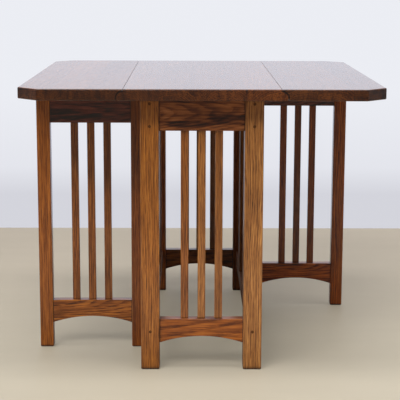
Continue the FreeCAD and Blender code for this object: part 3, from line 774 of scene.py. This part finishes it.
SCREW_RADIUS = 3.4 * MM
SCREW_TAPER = 0.8               # the radius under the head, as a share of the radius
SCREW_PROUD = 0.12 * MM
SCREW_SUNK = 1.0 * MM
SLOT_HALF = 0.45 * MM
SLOT_DEPTH = 0.65 * MM
SLOT_TURNS_SEED = 5
ROUND_STEPS = 28
LOBE_STEPS = 12
SCREW_SPREAD = 38.0 * MM        # between the two screws of a hinge
SCREW_FROM_EDGE = 9.0 * MM
HINGE_LENGTH = 64.0 * MM
HINGES_PER_SEAM = 3
HINGES_PER_GATE = 2
GATE_PLATE = 1.8 * MM           # thickness of the gate hinges' plates
BUTTON_FACE_DROP = 20.0 * MM    # from the underside of the top to the buttons'
BUTTON_MIDDLE = 16.0 * MM       # from a rail's inner face to the middle of its buttons
BUTTON_FROM_POST = 137.0 * MM   # from a post's inner face to the middle of the nearer button
PEG_RADIUS = 4.0 * MM
PEG_SUNK = 2.0 * MM
PEG_PROUD = 0.3 * MM
# The rounded end: shares of the radius, and of how far it stands proud.
PEG_CROWN = ((1.0, 0.3), (0.9, 0.75), (0.6, 1.0), (0, 1.1))
PEG_DROPS = (13.5 * MM, 71.0 * MM)      # below the upper edge of the top rail


def brass_material(name, colour, roughness):
    """Dulled brass with darker tarnish in patches and fine scratches."""
    material, graph, shader = new_material(name)
    place = graph.node("ShaderNodeTexCoord").outputs["Object"]
    stain = graph.ease(graph.noise(place, *TARNISH), *TARNISH_STEP, 0.0, TARNISH_MOST)
    scratch = graph.noise(place, *SCRATCHES)
    dull = shaded(colour, TARNISH_DULLS)
    graph.feed(shader.inputs["Base Color"], graph.blend(stain, colour, dull))
    rough = graph.math("MULTIPLY_ADD", stain, TARNISH_ROUGHENS, roughness)
    rough = graph.math("MULTIPLY_ADD", scratch, SCRATCHES_ROUGHEN, rough)
    graph.feed(shader.inputs["Roughness"], rough)
    shader.inputs["Metallic"].default_value = 1.0
    graph.roughen(shader, SCRATCH_RELIEF, SCRATCH_DEPTH, scratch)
    return material


def peg_material():
    """The dark end grain of a peg, with small pores."""
    material, graph, shader = new_material("peg_end_grain")
    place = graph.node("ShaderNodeTexCoord").outputs["Object"]
    pores = graph.noise(place, *PEG_PORES)
    graph.feed(shader.inputs["Base Color"],
               graph.blend(graph.ease(pores, *PEG_PORES_STEP), PEG_DARK, PEG_PALE))
    shader.inputs["Roughness"].default_value = PEG_ROUGHNESS
    shader.inputs["Specular IOR Level"].default_value = PEG_SPECULAR
    graph.roughen(shader, PEG_RELIEF, PEG_PORE_DEPTH, pores)
    return material


def pointing(place, direction):
    """The matrix that puts +Z along a direction at a place."""
    return Matrix.Translation(place) @ direction.to_track_quat("Z", "Y").to_matrix().to_4x4()


def add_turned(bm, profile, matrix, segments=ROUND_STEPS):
    """Adds a closed body of revolution. The profile runs from the axis at one end to the other."""
    rings = []
    for radius, height in profile:
        if radius == 0:
            rings.append([bm.verts.new(matrix @ Vector((0, 0, height)))])
            continue
        turns = [2 * math.pi * step / segments for step in range(segments)]
        rings.append([bm.verts.new(matrix @ Vector((radius * math.cos(a), radius * math.sin(a), height)))
                      for a in turns])
    for lower, upper in zip(rings, rings[1:]):
        for step in range(segments):
            after = (step + 1) % segments
            corners = [lower[step % len(lower)], lower[after % len(lower)],
                       upper[after % len(upper)], upper[step % len(upper)]]
            bm.faces.new(list(dict.fromkeys(corners)))


def add_lobe(bm, matrix, radius, half_slot, low, high, steps=LOBE_STEPS):
    """Adds one half of a slotted screw head: the part of the disc beside the slot."""
    start = math.asin(half_slot / radius)
    angles = [start + (math.pi - 2 * start) * step / steps for step in range(steps + 1)]
    outline = [(radius * math.cos(a), radius * math.sin(a)) for a in angles]
    below = [bm.verts.new(matrix @ Vector((x, y, low))) for x, y in outline]
    above = [bm.verts.new(matrix @ Vector((x, y, high))) for x, y in outline]
    bm.faces.new(above)
    bm.faces.new(list(reversed(below)))
    for step in range(len(outline)):
        after = (step + 1) % len(outline)
        bm.faces.new([below[step], below[after], above[after], above[step]])


def add_screw(bm, place, direction, turn):
    """Adds a slotted countersunk head that looks along a direction, with its slot turned."""
    matrix = pointing(place, direction) @ Matrix.Rotation(turn, 4, "Z")
    floor = SCREW_PROUD - SLOT_DEPTH
    disc = [(0, -SCREW_SUNK), (SCREW_RADIUS * SCREW_TAPER, -SCREW_SUNK), (SCREW_RADIUS, floor),
            (0, floor)]
    add_turned(bm, disc, matrix)
    for half_turn in (0, math.pi):
        add_lobe(bm, matrix @ Matrix.Rotation(half_turn, 4, "Z"), SCREW_RADIUS, SLOT_HALF,
                 floor, SCREW_PROUD)


def add_peg(bm, place, direction):
    """Adds a peg whose rounded end stands a little proud."""
    profile = [(0, -PEG_SUNK), (PEG_RADIUS, -PEG_SUNK)]
    profile += [(PEG_RADIUS * wide, PEG_PROUD * proud) for wide, proud in PEG_CROWN]
    add_turned(bm, profile, pointing(place, direction))


def finish_piece(bm, name, material, body):
    """Makes an object of a mesh, and says what it rides on and whose finish it takes."""
    bmesh.ops.recalc_face_normals(bm, faces=bm.faces)
    mesh = bpy.data.meshes.new(name)
    bm.to_mesh(mesh)
    bm.free()
    piece = bpy.data.objects.new(name, mesh)
    bpy.context.scene.collection.objects.link(piece)
    mesh.materials.append(material)
    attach(piece, body)


def screws(name, places, direction, body, material):
    """One object with a screw at each place, all driven from one side."""
    bm = bmesh.new()
    for place in places:
        add_screw(bm, place, direction, random.uniform(0, math.pi))
    finish_piece(bm, name, material, body)


def hinge_middles(low, high, count):
    """The middles of evenly spaced hinges between the ends of the first and the last."""
    first = low + HINGE_LENGTH / 2
    last = high - HINGE_LENGTH / 2
    return [first + (last - first) * step / (count - 1) for step in range(count)]


def pairs_about(middles):
    """Two screw positions about each middle."""
    return [middle + sign * SCREW_SPREAD / 2 for middle in middles for sign in (-1, 1)]


def leaf_hinge_screws(material):
    """Screws up into the centre board and the leaves, seen from below."""
    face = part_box("centre_top")[0].z
    for side, out in OUTWARD.items():
        for node, body, outer in ((side + "_seam_plates", "frame", False),
                                  (side + "_leaf_flaps", side + "_leaf", True)):
            low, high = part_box(node)
            edges = (abs(low.x), abs(high.x))
            x = max(edges) - SCREW_FROM_EDGE if outer else min(edges) + SCREW_FROM_EDGE
            rows = pairs_about(hinge_middles(low.y, high.y, HINGES_PER_SEAM))
            screws(node + "_screws", [Vector((out * x, y, face)) for y in rows], -Z, body, material)


def gate_hinge_screws(material):
    """Screws of the butt hinges, on the mullions and on the gates' stiles."""
    for side, out in OUTWARD.items():
        low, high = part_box(side + "_gate_frame_plates")
        rows = pairs_about(hinge_middles(low.z, high.z, HINGES_PER_GATE))
        face = out * (abs(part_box(side + "_apron")[0 if out < 0 else 1].x) + GATE_PLATE)
        y = high.y - SCREW_FROM_EDGE if out < 0 else low.y + SCREW_FROM_EDGE
        screws(side + "_gate_frame_screws", [Vector((face, y, z)) for z in rows], X * out, "frame",
               material)
        low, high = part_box(side + "_gate_hinge_plates")
        x = low.x + SCREW_FROM_EDGE if out < 0 else high.x - SCREW_FROM_EDGE
        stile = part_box(side + "_gate_stile")
        face = stile[1].y + GATE_PLATE if out < 0 else stile[0].y - GATE_PLATE
        screws(side + "_gate_plate_screws", [Vector((x, face, z)) for z in rows], Y * -out,
               side + "_gate", material)


def button_screws(material):
    """One screw up through each button that holds the top."""
    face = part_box("centre_top")[0].z - BUTTON_FACE_DROP
    side_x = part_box("left_apron")[1].x + BUTTON_MIDDLE
    end_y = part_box("front_top_rail")[1].y + BUTTON_MIDDLE
    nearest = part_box("front_left_post")[1].y + BUTTON_FROM_POST
    rows = (nearest, 0.0, -nearest)
    places = [Vector((sign * side_x, y, face)) for sign in (-1, 1) for y in rows]
    places += [Vector((0, sign * end_y, face)) for sign in (-1, 1)]
    screws("button_screws", places, -Z, "frame", material)


def post_pegs(material):
    """The pegs through the tenons of the end rails: two above, one below, in every post."""
    bm = bmesh.new()
    for end, out in (("front", -1), ("rear", 1)):
        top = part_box(end + "_top_rail")[1].z
        low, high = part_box(end + "_bottom_rail")
        heights = [top - drop for drop in PEG_DROPS] + [(low.z + high.z) / 2]
        for side in ("left", "right"):
            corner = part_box(f"{end}_{side}_post")
            x = (corner[0].x + corner[1].x) / 2
            y = corner[0].y if out < 0 else corner[1].y
            for z in heights:
                add_peg(bm, Vector((x, y, z)), Y * out)
    finish_piece(bm, "post_pegs", material, "frame")


# ---- The room ----------------------------------------------------------------------------------

def stage_plane(name, corners, material):
    """A flat piece of the stage."""
    mesh = bpy.data.meshes.new(name)
    mesh.from_pydata(corners, [], [(0, 1, 2, 3)])
    mesh.materials.append(material)
    piece = bpy.data.objects.new(name, mesh)
    bpy.context.scene.collection.objects.link(piece)


def floor():
    """A plain pale floor, with painted light: darker towards the back and brighter to the right. The
    camera's view of it is partly evened out, and the table gets back less of its colour than the
    camera sees."""
    material = bpy.data.materials.new("floor_pale")
    graph = empty_graph(material)
    place = graph.node("ShaderNodeTexCoord").outputs["Object"]
    sideways, depth, _ = graph.parts(place)
    # Painted light: the floor dims towards the back, in its colour and in its glow.
    dimming = graph.ease(depth, *FLOOR_SHADE_SPAN)
    mottle = graph.noise(place, *FLOOR_PATCHES)
    brightness = graph.math("MULTIPLY_ADD", mottle, FLOOR_MOTTLE, 1.0 - FLOOR_MOTTLE / 2)
    # Painted light: darker to the left of the table, brighter to the right.
    slant = graph.ease(sideways, -FLOOR_SIDE_REACH, FLOOR_SIDE_REACH, *FLOOR_SIDES)
    brightness = graph.math("MULTIPLY", brightness, slant)
    worn = graph.scale(graph.blend(dimming, FLOOR_NEAR, FLOOR_FAR), brightness)
    thrown = graph.scale(worn, FLOOR_THROWS)
    shader = graph.node("ShaderNodeBsdfPrincipled", {
        "Base Color": graph.blend(background_ray(graph), thrown, worn),
        "Roughness": FLOOR_ROUGHNESS, "IOR": FLOOR_IOR})
    even = graph.glow(graph.blend(dimming, FLOOR_SHOWN_NEAR, FLOOR_SHOWN_FAR))
    seen = graph.node("ShaderNodeLightPath").outputs["Is Camera Ray"]
    share = graph.math("MULTIPLY", seen, FLOOR_EVENNESS)
    graph.show(graph.mix_shaders(share, shader.outputs[0], even))
    r = FLOOR_REACH
    stage_plane("floor", [(-r, -r, 0), (r, -r, 0), (r, r, 0), (-r, r, 0)], material)


def background_ray(graph):
    """1 for the rays that see the background: the camera's, and those of gloss and glass."""
    path = graph.node("ShaderNodeLightPath").outputs
    seen = graph.math("MAXIMUM", path["Is Camera Ray"], path["Is Glossy Ray"])
    return graph.math("MAXIMUM", seen, path["Is Transmission Ray"])


def wall():
    """A pale wall behind the table, shown darker towards the floor: painted shade. From behind it
    isn't there.
    """
    material = bpy.data.materials.new("wall_pale")
    graph = empty_graph(material)
    _, _, height = graph.parts(graph.node("ShaderNodeTexCoord").outputs["Object"])
    mirrored = graph.node("ShaderNodeLightPath").outputs["Is Glossy Ray"]
    # Painted shade: the wall shown darker towards the floor.
    shown = graph.glow(graph.blend(mirrored, graph.ramp(height, WALL_STOPS), WALL_MIRRORED))
    lit = graph.node("ShaderNodeBsdfDiffuse", {"Color": (*WALL_COLOUR, 1)}).outputs[0]
    front = graph.mix_shaders(background_ray(graph), lit, shown)
    clear = graph.node("ShaderNodeBsdfTransparent").outputs[0]
    behind = graph.node("ShaderNodeNewGeometry").outputs["Backfacing"]
    graph.show(graph.mix_shaders(behind, front, clear))
    r, h = FLOOR_REACH, WALL_HEIGHT
    corners = [(-r, WALL_Y, 0), (r, WALL_Y, 0), (r, WALL_Y, h), (-r, WALL_Y, h)]
    stage_plane("wall", corners, material)


def sky_shader(graph, colour, strength):
    """The sky in one colour."""
    inputs = {"Color": (*colour, 1), "Strength": strength}
    return graph.node("ShaderNodeBackground", inputs).outputs[0]


def sky():
    """Light all round, brighter overhead. The camera sees the wall's colour in it, and gloss a
    darker room.
    """
    world = bpy.data.worlds.new("studio")
    bpy.context.scene.world = world
    graph = empty_graph(world)
    path = graph.node("ShaderNodeLightPath").outputs
    _, towards_wall, upwards = graph.parts(graph.node("ShaderNodeTexCoord").outputs["Generated"])
    overhead = graph.ease(upwards, 0.0, 1.0, SKY_LOW, SKY_HIGH)
    gloss = graph.ease(towards_wall, *GLOSS_SPAN, ROOM_GLOSS, WALL_GLOSS)
    glossy = graph.math("MAXIMUM", path["Is Glossy Ray"], path["Is Transmission Ray"])
    unseen = graph.mix_shaders(glossy, sky_shader(graph, SKY_LIGHT, overhead),
                               sky_shader(graph, SKY_LIGHT, gloss))
    shown = sky_shader(graph, WALL_SHOWN_HIGH, 1.0)
    graph.show(graph.mix_shaders(path["Is Camera Ray"], unseen, shown), "ShaderNodeOutputWorld")


def soft_lamp(name, place, aim, size, power, colour, mirrored=True):
    """An oblong area light aimed at a point. The camera never sees its shape, and mirrored says
    whether gloss does."""
    data = bpy.data.lights.new(name, "AREA")
    data.shape = "RECTANGLE"
    data.size, data.size_y = size
    data.energy = power
    data.color = colour
    lamp = bpy.data.objects.new(name, data)
    bpy.context.scene.collection.objects.link(lamp)
    lamp.location = place
    lamp.rotation_euler = (Vector(aim) - Vector(place)).to_track_quat("-Z", "Y").to_euler()
    lamp.visible_camera = False
    lamp.visible_glossy = mirrored


def lamps():
    """The key behind the viewer, a wide light overhead, and light thrown back by the bright floor."""
    soft_lamp("key", KEY_PLACE, KEY_AIM, KEY_SIZE, KEY_POWER, KEY_COLOUR)
    soft_lamp("top_light", TOP_LIGHT_PLACE, TOP_LIGHT_AIM, TOP_LIGHT_SIZE, TOP_LIGHT_POWER,
              TOP_LIGHT_COLOUR)
    soft_lamp("bounce", BOUNCE_PLACE, BOUNCE_AIM, BOUNCE_SIZE, BOUNCE_POWER, BOUNCE_COLOUR,
              mirrored=False)


def camera():
    """The viewer's camera."""
    data = bpy.data.cameras.new("camera")
    data.lens = CAMERA_LENS
    viewer = bpy.data.objects.new("camera", data)
    bpy.context.scene.collection.objects.link(viewer)
    turn = Matrix.Rotation(-CAMERA_YAW, 4, "Z") @ Matrix.Rotation(math.pi / 2 - CAMERA_PITCH, 4, "X")
    turn = turn @ Matrix.Rotation(CAMERA_ROLL, 4, "Z")
    viewer.matrix_world = Matrix.Translation(CAMERA_PLACE) @ turn
    bpy.context.scene.camera = viewer


# ---- Putting it together -----------------------------------------------------------------------

def dress_table():
    """Materials on every CAD node."""
    dress_posts()
    dress_ends()
    dress_sides()
    dress_gates()
    dress_buttons()
    for node in PLANKS_PER_BOARD:
        dress_board(node)
    hinge = brass_material("hinge_brass", HINGE_BRASS, HINGE_ROUGHNESS)
    for side in OUTWARD:
        for part in ("seam_plates", "leaf_flaps", "gate_frame_plates", "gate_hinge_plates"):
            dress(f"{side}_{part}", hinge)


def add_fasteners():
    """The screws and pegs."""
    random.seed(SLOT_TURNS_SEED)
    screw = brass_material("screw_brass", SCREW_BRASS, SCREW_ROUGHNESS)
    leaf_hinge_screws(screw)
    gate_hinge_screws(screw)
    button_screws(screw)
    post_pegs(peg_material())


bpy.context.scene.view_settings.view_transform = "Standard"
camera()
sky()
floor()
wall()
lamps()
dress_table()
add_fasteners()
